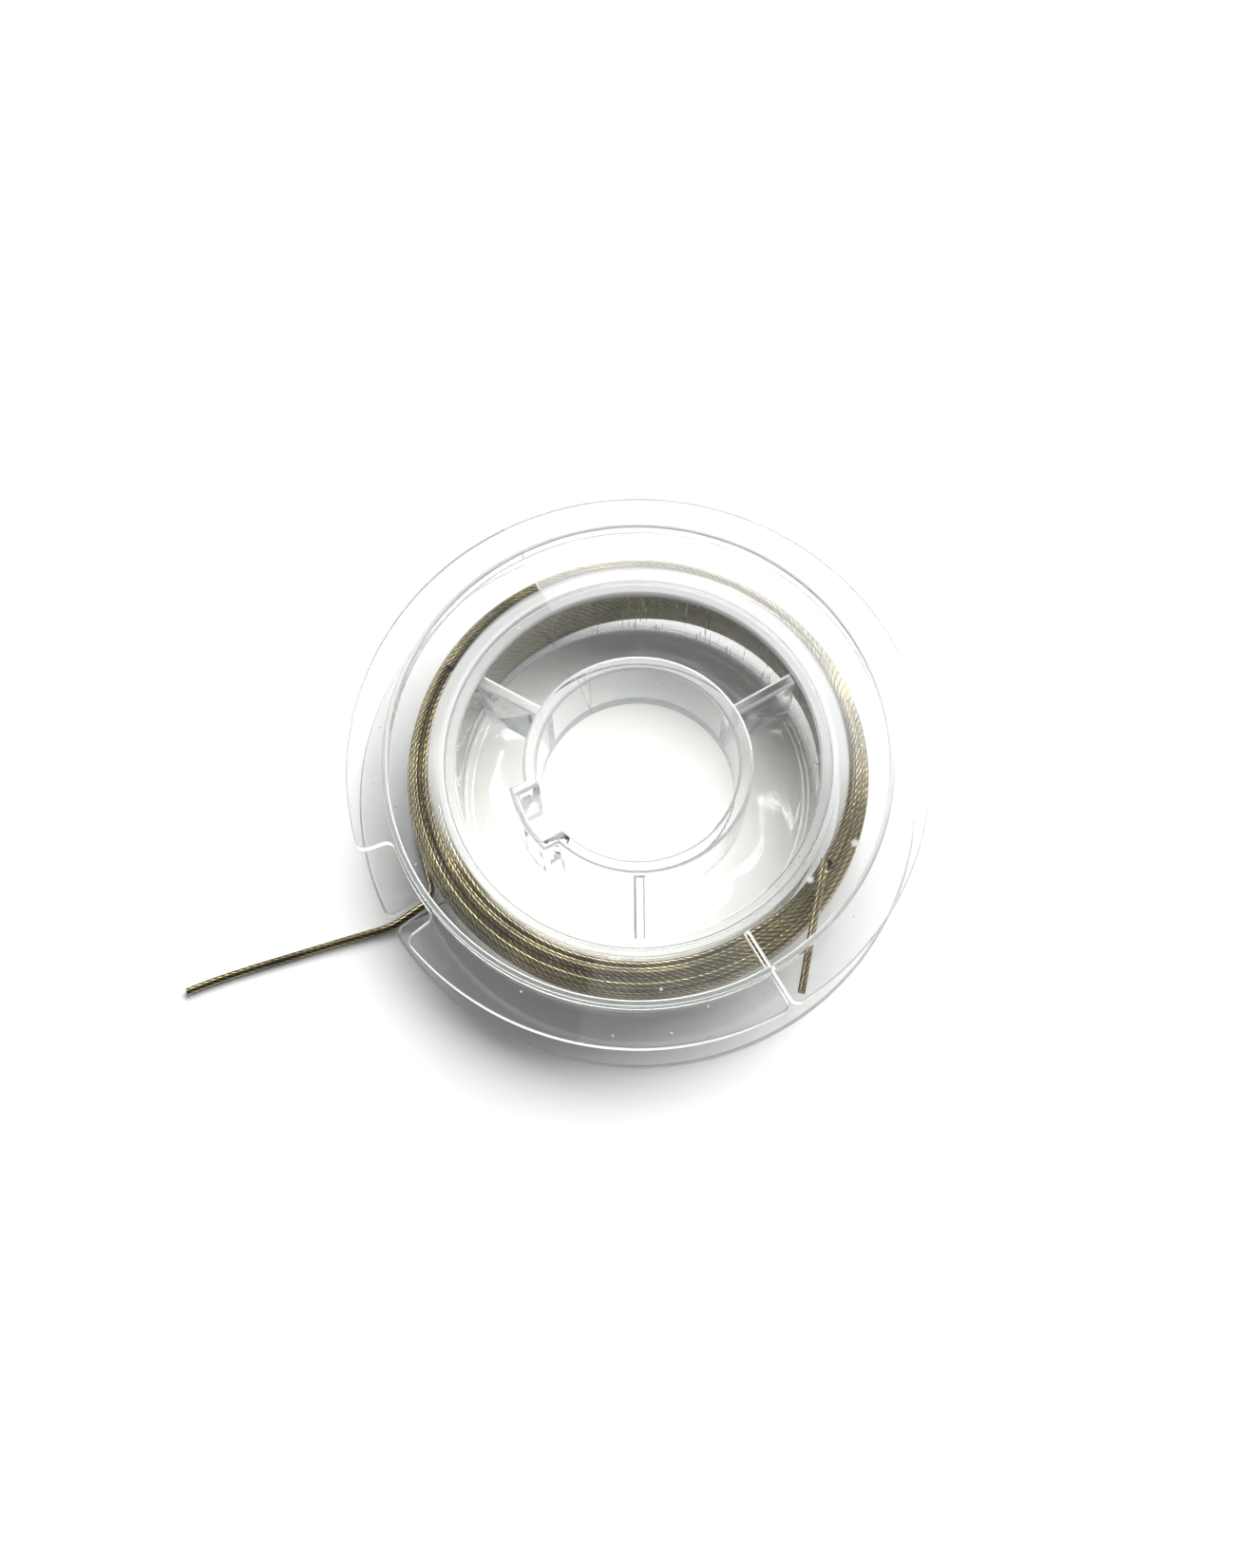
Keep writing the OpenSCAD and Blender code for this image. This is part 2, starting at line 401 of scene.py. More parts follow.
@dataclass(frozen=True)
class StrandedSteel:
    """Steel strands twisted together, under a thin clear coat: bronze glints, and painted shade in
    the grooves.
    """

    name: str = "coated_stranded_steel"
    crown: str = "#ada07b"
    painted_groove_shade: str = "#332d1d"
    aged: str = "#7c7257"
    strands: int = 6
    depth: float = 0.018
    crest: Ramp = Ramp(0.2, 0.85)
    patches: float = 5.0
    ageing: Ramp = Ramp(0.35, 0.65)
    roughness: Ramp = Ramp(0.0, 1.0, 0.36, 0.16)
    coat: float = 0.2
    coat_roughness: float = 0.1

    def material(self) -> Material:
        """Build the material: raised strands, with painted shade in the duller grooves between
        them.
        """
        material, tree = empty_material(self.name)
        coords = add_node(tree, "TexCoord").outputs
        along, around, _ = add_node(tree, "SeparateXYZ", links={0: coords["UV"]}).outputs
        turned = add_node(tree, "Math", {"operation": "ADD"}, {0: along, 1: around})
        angle = add_node(
            tree, "Math", {"operation": "MULTIPLY", 1: math.pi * self.strands}, {0: turned}
        )
        wave = add_node(tree, "Math", {"operation": "SINE"}, {0: angle})
        strand = add_node(tree, "Math", {"operation": "ABSOLUTE"}, {0: wave})
        mottle = add_node(
            tree,
            "TexNoise",
            {"Scale": 1 / (self.patches * MM), "Detail": 3.0},
            {"Vector": coords["Object"]},
        )
        age = add_node(tree, "MapRange", self.ageing.settings(), {"Value": mottle})
        crest = add_node(tree, "MapRange", self.crest.settings(), {"Value": strand})
        rough = add_node(tree, "MapRange", self.roughness.settings(), {"Value": crest})
        steel = add_node(
            tree,
            "Mix",
            {"data_type": "RGBA", 6: linear(self.crown), 7: linear(self.aged)},
            {0: age},
        ).outputs[2]
        # painted shade: the grooves between the strands are darkened towards a near-black colour
        colour = add_node(
            tree, "Mix", {"data_type": "RGBA", 6: linear(self.painted_groove_shade)}, {0: crest, 7: steel}
        ).outputs[2]
        bump = add_node(tree, "Bump", {"Distance": self.depth * MM}, {"Height": strand})
        metal = add_node(
            tree,
            "BsdfPrincipled",
            {"Metallic": 1.0, "Coat Weight": self.coat, "Coat Roughness": self.coat_roughness},
            {"Base Color": colour, "Roughness": rough, "Normal": bump},
        )
        add_node(tree, "OutputMaterial", links={"Surface": metal})
        return material


@dataclass(frozen=True)
class WhiteTable:
    """A plain matt white table top, which keeps the shadow and runs out into the backdrop."""

    name: str = "white_table"
    colour: str = "#ececec"
    shown: float = 1.3
    run_out: Ramp = Ramp(95.0, 190.0)

    def material(self) -> Material:
        """Build the material: matt, with a whiter colour where it is looked at."""
        material, tree = empty_material(self.name)
        path = add_node(tree, "LightPath").outputs
        seen = path["Is Camera Ray"]
        for ray in ("Is Glossy Ray", "Is Transmission Ray"):
            seen = add_node(tree, "Math", {"operation": "MAXIMUM"}, {0: seen, 1: path[ray]})
        shown = (self.shown, self.shown, self.shown, 1)
        colour = add_node(
            tree, "Mix", {"data_type": "RGBA", 6: linear(self.colour), 7: shown}, {0: seen}
        ).outputs[2]
        matt = add_node(tree, "BsdfDiffuse", links={"Color": colour})
        place = add_node(tree, "TexCoord").outputs["Object"]
        away = add_node(tree, "VectorMath", {"operation": "LENGTH"}, {0: place}).outputs["Value"]
        far = add_node(tree, "MapRange", self.run_out.settings(MM), {"Value": away})
        gone = add_node(tree, "Math", {"operation": "MULTIPLY"}, {0: far, 1: path["Is Camera Ray"]})
        white = add_node(tree, "Emission", {"Color": (1, 1, 1, 1)})
        both = add_node(tree, "MixShader", links={0: gone, 1: matt, 2: white})
        add_node(tree, "OutputMaterial", links={"Surface": both})
        return material


# ---- shaping --------------------------------------------------------------------------------
class Pen:
    """Draws an outline in a bmesh with straight lines and arcs."""

    def __init__(self, bm: BMesh, start: tuple[float, float]) -> None:
        """Put the pen down at start, on the plane z = 0 of bm."""
        self.bm = bm
        self.first: BMVert = bm.verts.new((*start, 0.0))
        self.tip: BMVert = self.first

    def line(self, x: float, y: float) -> None:
        """Draw a straight line to (x, y)."""
        self.tip = bmesh.ops.extrude_vert_indiv(self.bm, verts=[self.tip])["verts"][0]
        self.tip.co = (x, y, 0.0)

    def arc(self, x: float, y: float, degrees: float, steps: int) -> None:
        """Draw an arc.

        Args:
            x: The x of the arc's centre.
            y: The y of the arc's centre.
            degrees: How far the arc turns, counter-clockwise where positive.
            steps: Number of straight stretches.
        """
        made = bmesh.ops.spin(
            self.bm,
            geom=[self.tip],
            cent=(x, y, 0),
            axis=(0, 0, 1),
            dvec=(0, 0, 0),
            angle=math.radians(degrees),
            steps=steps,
            use_merge=False,
            use_normal_flip=False,
            use_duplicate=False,
        )["geom_last"]
        self.tip = next(g for g in made if isinstance(g, BMVert))

    def close(self) -> None:
        """Join the last point to the first."""
        if (self.tip.co - self.first.co).length < HAIR:
            bmesh.ops.weld_verts(self.bm, targetmap={self.tip: self.first})
        else:
            self.bm.edges.new((self.tip, self.first))


def polar(radius: float, degrees: float) -> tuple[float, float]:
    """Return the point at a radius and a direction."""
    angle = math.radians(degrees)
    return radius * math.cos(angle), radius * math.sin(angle)


def thicken(bm: BMesh, low: float, high: float, rounding: float, steps: int) -> BMesh:
    """Fill flat outlines, give them a thickness and round both edges of every outline.

    Args:
        bm: Closed outlines on the plane z = 0: one outside, and holes.
        low: Height of the lower face.
        high: Height of the upper face.
        rounding: Radius of the rounded edges.
        steps: Number of faces across a rounded edge.

    Returns:
        The same bmesh, now a closed solid.
    """
    bmesh.ops.triangle_fill(
        bm, use_beauty=True, use_dissolve=True, edges=bm.edges[:], normal=(0, 0, 1)
    )
    raised = bmesh.ops.extrude_face_region(bm, geom=bm.faces[:])["geom"]
    bmesh.ops.translate(
        bm, verts=[g for g in raised if isinstance(g, BMVert)], vec=(0, 0, high - low)
    )
    bmesh.ops.translate(bm, verts=bm.verts[:], vec=(0, 0, low))
    bmesh.ops.recalc_face_normals(bm, faces=bm.faces[:])
    rims = [
        e
        for e in bm.edges
        if len(e.link_faces) == 2 and is_level(e.link_faces[0]) != is_level(e.link_faces[1])
    ]
    round_off(bm, rims, rounding, steps)
    return bm


def is_level(face: BMFace) -> bool:
    """True where a face lies level."""
    return abs(face.normal.z) > LEVEL


def round_off(bm: BMesh, sharp: list[BMEdge] | list[BMVert], width: float, steps: int) -> None:
    """Round edges off.

    Args:
        bm: The shape.
        sharp: Its edges, or the corners of a flat profile.
        width: Radius of the rounding.
        steps: Number of faces across it.
    """
    bmesh.ops.bevel(
        bm,
        geom=sharp,
        offset=width,
        offset_type="OFFSET",
        segments=steps,
        profile=0.5,
        affect="VERTICES" if isinstance(sharp[0], BMVert) else "EDGES",
        material=-1,
        clamp_overlap=True,
    )


def turn(bm: BMesh, degrees: float) -> None:
    """Turn a shape round the axis."""
    matrix = Matrix.Rotation(math.radians(degrees), 3, "Z")
    bmesh.ops.rotate(bm, verts=bm.verts[:], cent=(0, 0, 0), matrix=matrix)


def lathe(
    corners: list[tuple[float, float]],
    rounded: dict[int, float],
    degrees: float = 360.0,
    start: float = 0.0,
    segments: int = 200,
    round_steps: int = 5,
) -> BMesh:
    """Sweep a profile round the axis.

    Args:
        corners: The closed profile's corners as radius and height.
        rounded: Rounding radius by the number of the corner.
        degrees: How far round the profile is swept.
        start: Direction in which the sweep starts.
        segments: Its number of steps.
        round_steps: Number of faces across a rounded corner.

    Returns:
        A closed solid.
    """
    bm = bmesh.new()
    points = [bm.verts.new((r, 0.0, z)) for r, z in corners]
    bm.faces.new(points)
    for number, radius in rounded.items():
        round_off(bm, [points[number]], radius, round_steps)
    turn(bm, start)
    whole = degrees >= 360.0
    if whole:
        bmesh.ops.delete(bm, geom=bm.faces[:], context="FACES_ONLY")
    bmesh.ops.spin(
        bm,
        geom=bm.edges[:] if whole else bm.faces[:],
        cent=(0, 0, 0),
        axis=(0, 0, 1),
        dvec=(0, 0, 0),
        angle=math.radians(degrees),
        steps=segments,
        use_merge=whole,
        use_normal_flip=False,
        use_duplicate=False,
    )
    bmesh.ops.holes_fill(bm, edges=[e for e in bm.edges if e.is_boundary], sides=0)
    bmesh.ops.recalc_face_normals(bm, faces=bm.faces[:])
    return bm


def evaluated_mesh(obj: Object) -> Mesh:
    """Return the mesh of an object with its modifiers applied."""
    bpy.context.view_layer.update()
    graph = bpy.context.evaluated_depsgraph_get()
    return bpy.data.meshes.new_from_object(
        obj.evaluated_get(graph), preserve_all_data_layers=True, depsgraph=graph
    )


def held_object(name: str, data: ID) -> Object:
    """Put data into the scene as an object."""
    obj = bpy.data.objects.new(name, data)
    bpy.context.scene.collection.objects.link(obj)
    return obj


def mesh_from(bm: BMesh, name: str) -> Mesh:
    """Turn a bmesh into a mesh and free it."""
    mesh = bpy.data.meshes.new(name)
    bm.to_mesh(mesh)
    bm.free()
    return mesh


def cleaned(mesh: Mesh) -> Mesh:
    """Merge a closed mesh's doubles and turn its faces outwards.

    Args:
        mesh: The mesh, which is changed.

    Returns:
        The same mesh.
    """
    bm = bmesh.new()
    bm.from_mesh(mesh)
    bmesh.ops.remove_doubles(bm, verts=bm.verts[:], dist=HAIR)
    bmesh.ops.dissolve_degenerate(bm, dist=HAIR, edges=bm.edges[:])
    bmesh.ops.recalc_face_normals(bm, faces=bm.faces[:])
    bm.to_mesh(mesh)
    bm.free()
    return mesh


def joined(parts: list[BMesh]) -> Mesh:
    """Join closed shapes.

    Args:
        parts: The shapes, which overlap.

    Returns:
        One clean closed mesh.
    """
    held = [held_object("work_part", mesh_from(part, "work_part")) for part in parts]
    for other in held[1:]:
        step = held[0].modifiers.new("join", "BOOLEAN")
        step.operation, step.solver, step.object = "UNION", "EXACT", other
    mesh = evaluated_mesh(held[0])
    for used in held:
        bpy.data.objects.remove(used)
    return cleaned(mesh)


def shade(mesh: Mesh, sharp_deg: float) -> None:
    """Shade a mesh smooth, but for edges that turn more than an angle."""
    mesh.shade_smooth()
    mesh.set_sharp_from_angle(angle=math.radians(sharp_deg))


@dataclass(frozen=True)
class Piece:
    """What a finished mesh is called and what it stands for."""

    name: str
    slot: Slot
    node: str

    def finish(self, mesh: Mesh, material: Material, sharp_deg: float) -> Object:
        """Scale a mesh to metres, shade it, dress it and hang it on the frame.

        Args:
            mesh: The mesh in millimetres.
            material: Its material.
            sharp_deg: Edges that turn more than this are kept crisp.

        Returns:
            The finished object.
        """
        mesh.name = self.name
        mesh.transform(Matrix.Scale(MM, 4))
        mesh.materials.clear()
        mesh.materials.append(material)
        shade(mesh, sharp_deg)
        obj = held_object(self.name, mesh)
        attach(obj, BODY)
        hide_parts(self.node)
        LOG.info("%s: %d faces", self.name, len(mesh.polygons))
        return obj


def even_normals(mesh: Mesh) -> Mesh:
    """Let large flat faces keep their direction where rounded edges meet them.

    Args:
        mesh: The mesh.

    Returns:
        A mesh of the same shape with its own normals.
    """
    shade(mesh, CREASE_DEG)
    work = held_object("work_normals", mesh)
    step = work.modifiers.new("even", "WEIGHTED_NORMAL")
    step.mode, step.weight, step.keep_sharp = "FACE_AREA", 100, True
    made = evaluated_mesh(work)
    bpy.data.objects.remove(work)
    return made


@dataclass(frozen=True)
class ClearMoulding:
    """Turns a moulding's parts into one piece whose edges get the painted glow material."""

    plastic: Material
    edge: Material

    def mould(
        self, name: str, node: str, parts: list[BMesh], is_edge: Callable[[Vector, Vector], bool]
    ) -> None:
        """Join a moulding's parts and dress it.

        Args:
            name: What the piece is called.
            node: The node that it stands for.
            parts: Its closed shapes.
            is_edge: Tells from a face's centre in millimetres and its normal whether it is an edge,
                which gets the painted glow.
        """
        mesh = even_normals(joined(parts))
        obj = Piece(name, Slot.PLASTIC, node).finish(mesh, self.plastic, CREASE_DEG)
        obj.data.materials.append(self.edge)
        for face in obj.data.polygons:
            face.material_index = int(is_edge(face.center / MM, face.normal))


# ---- the two mouldings ------------------------------------------------------------------------
@dataclass
class Flange:
    """What both flanges share."""

    radius: float = 30.0
    thickness: float = 1.2
    rounding: float = 0.45
    corner: float = 0.9
    rim_steps: int = 220
    corner_steps: int = 7
    slot_steps: int = 12
    edge_steps: int = 4
    upright: float = 0.93

    def mouth(self, half_width: float) -> tuple[float, float]:
        """Work out a slot's mouth, whose corners are rounded.

        Args:
            half_width: Half the slot's width.

        Returns:
            How far out the corners' centres are along the slot, and how many degrees beside the
            slot's middle the rim ends.
        """
        beside = half_width + self.corner
        along = math.sqrt((self.radius - self.corner) ** 2 - beside**2)
        return along, math.degrees(math.atan2(beside, along))

    def slot(self, pen: Pen, az: float, half_width: float, inner: float) -> None:
        """Draw a slot from the rim to its round end and back.

        Args:
            pen: A pen that stands where the rim ends at the slot's mouth.
            az: Direction of the slot.
            half_width: Half its width.
            inner: How far from the axis the centre of its round end is.
        """
        along, mouth = self.mouth(half_width)
        turned = Matrix.Rotation(math.radians(az), 2)
        side = half_width + self.corner
        pen.arc(*(turned @ Vector((along, -side))), 90 - mouth, self.corner_steps)
        pen.line(*(turned @ Vector((inner, -half_width))))
        pen.arc(*(turned @ Vector((inner, 0))), -180, self.slot_steps)
        pen.line(*(turned @ Vector((along, half_width))))
        pen.arc(*(turned @ Vector((along, side))), 90 - mouth, self.corner_steps)

    def rim(self, pen: Pen, degrees: float) -> None:
        """Draw a stretch of the rim."""
        pen.arc(0, 0, degrees, max(2, round(self.rim_steps * degrees / 360)))

    def thickened(self, bm: BMesh, low: float) -> BMesh:
        """Give a flange's outline its thickness, from a height up."""
        return thicken(bm, low, low + self.thickness, self.rounding, self.edge_steps)


@dataclass
class SpoolBase:
    """Lower flange, web, drum, ribs and the keyed bore tube, moulded in one."""

    flange: Flange
    drum_r: float = 20.7
    drum_inner_r: float = 18.8
    shoulder_z: float = 10.3
    spigot_r: float = 19.95
    spigot_z: float = 11.0
    foot: float = 1.2
    foot_fillet: float = 0.6
    sunk_z: float = 0.6
    shoulder_rounding: float = 0.15
    spigot_rounding: float = 0.2
    mouth_rounding: float = 0.3
    bore_r: float = 10.45
    tube_r: float = 11.95
    tube_z: float = 10.3
    tube_rounding: float = 0.32
    top_steps: int = 3
    key_az: float = 208.2
    key_half: float = 2.7
    key_r: float = 12.85
    key_wall: float = 0.7
    key_side: float = 1.2
    key_hole_side: float = 0.5
    key_steps: int = 12
    circle_steps: int = 120
    rib_az: float = 270.6
    rib_count: int = 3
    rib_t: float = 1.3
    rib_z: float = 9.8
    rib_ends: tuple[float, float] = (0.6, 0.4)
    rib_rounding: float = 0.3
    slot_az: float = 209.6
    slot_half: float = 0.65
    slot_in: float = 23.6
    lit_from_r: float = 22.1
    tilted: tuple[float, float] = (0.1, 0.97)
    slack: float = 0.01

    def key_outline(self, bm: BMesh, radius: float, half: float, reach: float) -> None:
        """Draw a circle with a parallel-sided bulge for the key.

        Args:
            bm: Gets the outline.
            radius: The circle's radius.
            half: Half the bulge's width.
            reach: How far the bulge is from the axis.
        """
        start = math.degrees(math.asin(half / radius))
        outer = math.degrees(math.asin(half / reach))
        pen = Pen(bm, polar(radius, self.key_az + start))
        pen.arc(0, 0, 360 - 2 * start, self.circle_steps)
        pen.line(*polar(reach, self.key_az - outer))
        pen.arc(0, 0, 2 * outer, self.key_steps)
        pen.close()

    def plate(self) -> BMesh:
        """Make the lower flange with the outgoing wire's slot."""
        bm = bmesh.new()
        _, mouth = self.flange.mouth(self.slot_half)
        pen = Pen(bm, polar(self.flange.radius, self.slot_az - mouth))
        self.flange.slot(pen, self.slot_az, self.slot_half, self.slot_in)
        self.flange.rim(pen, 360 - 2 * mouth)
        pen.close()
        inside_wall = (self.bore_r + self.tube_r) / 2
        reach = self.key_r + self.key_wall / 2
        self.key_outline(bm, inside_wall, self.key_half + self.key_hole_side, reach)
        return self.flange.thickened(bm, 0)

    def drum(self) -> BMesh:
        """Make the drum's wall with its spigot and the fillet at its foot."""
        web = self.flange.thickness + self.slack
        corners = [
            (self.drum_inner_r - self.foot, self.sunk_z),
            (self.drum_r, self.sunk_z),
            (self.drum_r, self.shoulder_z),
            (self.spigot_r, self.shoulder_z),
            (self.spigot_r, self.spigot_z),
            (self.drum_inner_r, self.spigot_z),
            (self.drum_inner_r, web),
            (self.drum_inner_r - self.foot, web),
        ]
        rounded = {
            2: self.shoulder_rounding,
            4: self.spigot_rounding,
            5: self.mouth_rounding,
            6: self.foot_fillet,
        }
        return lathe(corners, rounded)

    def tube(self) -> BMesh:
        """Make the bore tube with its keyway."""
        bm = bmesh.new()
        outer_half = self.key_half + self.key_side
        self.key_outline(bm, self.tube_r, outer_half, self.key_r + self.key_wall)
        self.key_outline(bm, self.bore_r, self.key_half, self.key_r)
        return thicken(bm, 0, self.tube_z, self.tube_rounding, self.top_steps)

    def rib(self, az: float) -> BMesh:
        """Make one rib.

        Args:
            az: The rib's direction.

        Returns:
            A closed solid whose ends are in the tube's and the drum's walls.
        """
        bm = bmesh.new()
        bmesh.ops.create_cube(bm, size=1.0)
        inner, outer = self.tube_r - self.rib_ends[0], self.drum_inner_r + self.rib_ends[1]
        low, high = self.sunk_z, self.rib_z
        middle = ((inner + outer) / 2, 0, (low + high) / 2)
        bmesh.ops.scale(bm, verts=bm.verts[:], vec=(outer - inner, self.rib_t, high - low))
        bmesh.ops.translate(bm, verts=bm.verts[:], vec=middle)
        tops = [
            e
            for e in bm.edges
            if all(v.co.z > high - HAIR for v in e.verts)
            and abs(e.verts[0].co.y - e.verts[1].co.y) < HAIR
        ]
        round_off(bm, tops, self.rib_rounding, self.top_steps)
        turn(bm, az)
        return bm

    def is_edge(self, centre: Vector, normal: Vector) -> bool:
        """Tell whether a face belongs to the rim, the slot or a rounded top edge.

        Args:
            centre: The face's centre in millimetres.
            normal: Its direction.

        Returns:
            True for such a face.
        """
        if centre.to_2d().length > self.lit_from_r:
            return abs(normal.z) < self.flange.upright
        low, high = self.tilted
        top = centre.z > self.rib_z - self.tube_rounding
        return top and low < abs(normal.z) < high and abs(centre.z - self.shoulder_z) > self.slack

    def build(self, clear: ClearMoulding) -> None:
        """Mould the whole base."""
        parts = [self.plate(), self.drum(), self.tube()]
        for i in range(self.rib_count):
            parts.append(self.rib(self.rib_az + 360 * i / self.rib_count))
        clear.mould("moulded_base", "spool_base", parts, self.is_edge)


@dataclass
class UpperFlange:
    """The pressed-on upper flange with its stacking ring, start slot and finger notch."""

    flange: Flange
    low: float = 10.32
    hole_r: float = 20.0
    slot_az: float = 300.4
    slot_half: float = 0.2
    slot_in: float = 21.4
    notch_az: float = 209.3
    notch_half_deg: float = 10.0
    notch_r: float = 26.4
    ring_r: float = 25.85
    ring_t: float = 0.6
    ring_z: float = 13.2
    ring_sunk: float = 0.3
    ring_rounding: float = 0.22
    ring_top: float = 0.25
    seat_w: float = 0.6
    slack: float = 0.02
    notch_steps: int = 14
    hole_steps: int = 160

    def notch(self, pen: Pen) -> None:
        """Draw the finger notch from one rounded corner of its mouth to the other.

        Args:
            pen: A pen that stands where the rim ends at the notch.
        """
        corner, outer, inner = self.flange.corner, self.flange.radius, self.notch_r
        out_deg = math.degrees(math.asin(corner / (outer - corner)))
        in_deg = math.degrees(math.asin(corner / (inner + corner)))
        side_out = math.sqrt((outer - corner) ** 2 - corner**2)
        side_in = math.sqrt((inner + corner) ** 2 - corner**2)
        first, last = self.notch_az - self.notch_half_deg, self.notch_az + self.notch_half_deg
        steps = self.flange.corner_steps
        pen.arc(*polar(outer - corner, first - out_deg), 90 + out_deg, steps)
        pen.line(*polar(side_in, first))
        pen.arc(*polar(inner + corner, first + in_deg), in_deg - 90, steps)
        pen.arc(0, 0, 2 * (self.notch_half_deg - in_deg), self.notch_steps)
        pen.arc(*polar(inner + corner, last - in_deg), in_deg - 90, steps)
        pen.line(*polar(side_out, last))
        pen.arc(*polar(outer - corner, last + out_deg), 90 + out_deg, steps)

    def plate(self) -> BMesh:
        """Make the flange with its slot, notch and hole."""
        bm = bmesh.new()
        corner = self.flange.corner
        out_deg = math.degrees(math.asin(corner / (self.flange.radius - corner)))
        _, mouth = self.flange.mouth(self.slot_half)
        notch_edge = self.notch_half_deg + out_deg
        pen = Pen(bm, polar(self.flange.radius, self.notch_az - notch_edge))
        self.notch(pen)
        self.flange.rim(pen, self.slot_az - mouth - self.notch_az - notch_edge)
        self.flange.slot(pen, self.slot_az, self.slot_half, self.slot_in)
        self.flange.rim(pen, 360 + self.notch_az - notch_edge - self.slot_az - mouth)
        pen.close()
        bmesh.ops.create_circle(bm, cap_ends=False, radius=self.hole_r, segments=self.hole_steps)
        return self.flange.thickened(bm, self.low)

    def ring(self) -> BMesh:
        """Make the stacking ring, open at the start slot."""
        gap = 2 * math.degrees(math.asin(self.slot_half / self.ring_r))
        inner, outer = self.ring_r - self.ring_t / 2, self.ring_r + self.ring_t / 2
        foot, top = self.low + self.flange.thickness - self.ring_sunk, self.ring_z
        corners = [(inner, foot), (outer, foot), (outer, top), (inner, top)]
        rounded = {2: self.ring_rounding, 3: self.ring_rounding}
        return lathe(corners, rounded, 360 - gap, self.slot_az + gap / 2)

    def is_edge(self, centre: Vector, normal: Vector) -> bool:
        """Tell whether a face belongs to the rim, the notch, the slot or the ring's top.

        Args:
            centre: The face's centre in millimetres.
            normal: Its direction.

        Returns:
            True for such a face.
        """
        if centre.z > self.ring_z - self.ring_top:
            return True
        off_seat = centre.to_2d().length > self.hole_r + self.seat_w
        in_plate = centre.z < self.low + self.flange.thickness + self.slack
        return off_seat and in_plate and abs(normal.z) < self.flange.upright

    def build(self, clear: ClearMoulding) -> None:
        """Mould the flange."""
        parts = [self.plate(), self.ring()]
        clear.mould("moulded_upper_flange", "upper_flange", parts, self.is_edge)


# ---- the wire ---------------------------------------------------------------------------------
@dataclass
class StrandedWire:
    """Sweeps the wire's round outline along a path; its UV map carries the strands' twist."""

    steel: Material
    diameter: float = 0.8
    ring_points: int = 16
    lay: float = 4.6
    spacing: float = 0.6

    def outline(self) -> Object:
        """Make the wire's cross-section."""
        curve = bpy.data.curves.new("work_outline", "CURVE")
        curve.dimensions = "2D"
        spline = curve.splines.new("POLY")
        spline.points.add(self.ring_points - 1)
        spline.use_cyclic_u = True
        for i, point in enumerate(spline.points):
            point.co = (*polar(self.diameter / 2, 360 * i / self.ring_points), 0, 1)
        return held_object("work_outline", curve)

    def twist(self, mesh: Mesh, path: list[Vector]) -> None:
        """Write into U how many turns the strands have made round the wire.

        Args:
            mesh: The swept mesh, whose U runs from 0 to 1 along the path.
            path: The path's points in millimetres.
        """
        turns = [0.0]
        for a, b in zip(path, path[1:]):
            turns.append(turns[-1] + (b - a).length / self.lay)
        uv = mesh.uv_layers.active.data
        for face in mesh.polygons:
            for loop in face.loop_indices:
                end_cap = len(face.vertices) < 4
                spot = uv[loop].uv
                spot.x = 0.0 if end_cap else turns[round(spot.x * (len(path) - 1))]

    def sweep(self, path: list[Vector]) -> Mesh:
        """Sweep the cross-section along a path.

        Args:
            path: Closely spaced points in millimetres.

        Returns:
            The wire's mesh with closed ends, in millimetres.
        """
        outline = self.outline()
        curve = bpy.data.curves.new("work_wire", "CURVE")
        curve.dimensions, curve.bevel_mode = "3D", "OBJECT"
        curve.bevel_object, curve.use_fill_caps = outline, True
        spline = curve.splines.new("POLY")
        spline.points.add(len(path) - 1)
        for i, point in enumerate(spline.points):
            point.co = (*path[i], 1)
        work = held_object("work_wire", curve)
        mesh = evaluated_mesh(work)
        for used in (work, outline):
            bpy.data.objects.remove(used)
        self.twist(mesh, path)
        return cleaned(mesh)

    def laid(self, name: str, node: str, path: list[Vector]) -> Object:
        """Make a piece of wire along a path, which stands for a node."""
        piece = Piece(name, Slot.WIRE, node)
        return piece.finish(self.sweep(path), self.steel, WIRE_CREASE_DEG)


def smooth_step(t: float) -> float:
    """Ease from 0 to 1."""
    u = min(max(t, 0.0), 1.0)
    return u * u * (3 - 2 * u)


def flowing(points: list[Vector], spacing: float) -> list[Vector]:
    """Run a smooth curve through points.

    Args:
        points: The points that the curve passes.
        spacing: The distance between the points of the result.

    Returns:
        Closely spaced points on the curve.
    """
    path = []
    for i in range(len(points) - 1):
        before, a = points[max(i - 1, 0)], points[i]
        b, after = points[i + 1], points[min(i + 2, len(points) - 1)]
        count = max(1, round((b - a).length / spacing))
        for k in range(count):
            t = k / count
            path.append(
                0.5
                * (
                    2 * a
                    + (b - before) * t
                    + (2 * before - 5 * a + 4 * b - after) * t * t
                    + (3 * a - before - 3 * b + after) * t**3
                )
            )
    return [*path, points[-1].copy()]


@dataclass(frozen=True)
class Layer:
    """One pass of the wound wire along the drum."""

    rank: int
    low: float
    turns: float
    falls: bool
    high: float = 9.15


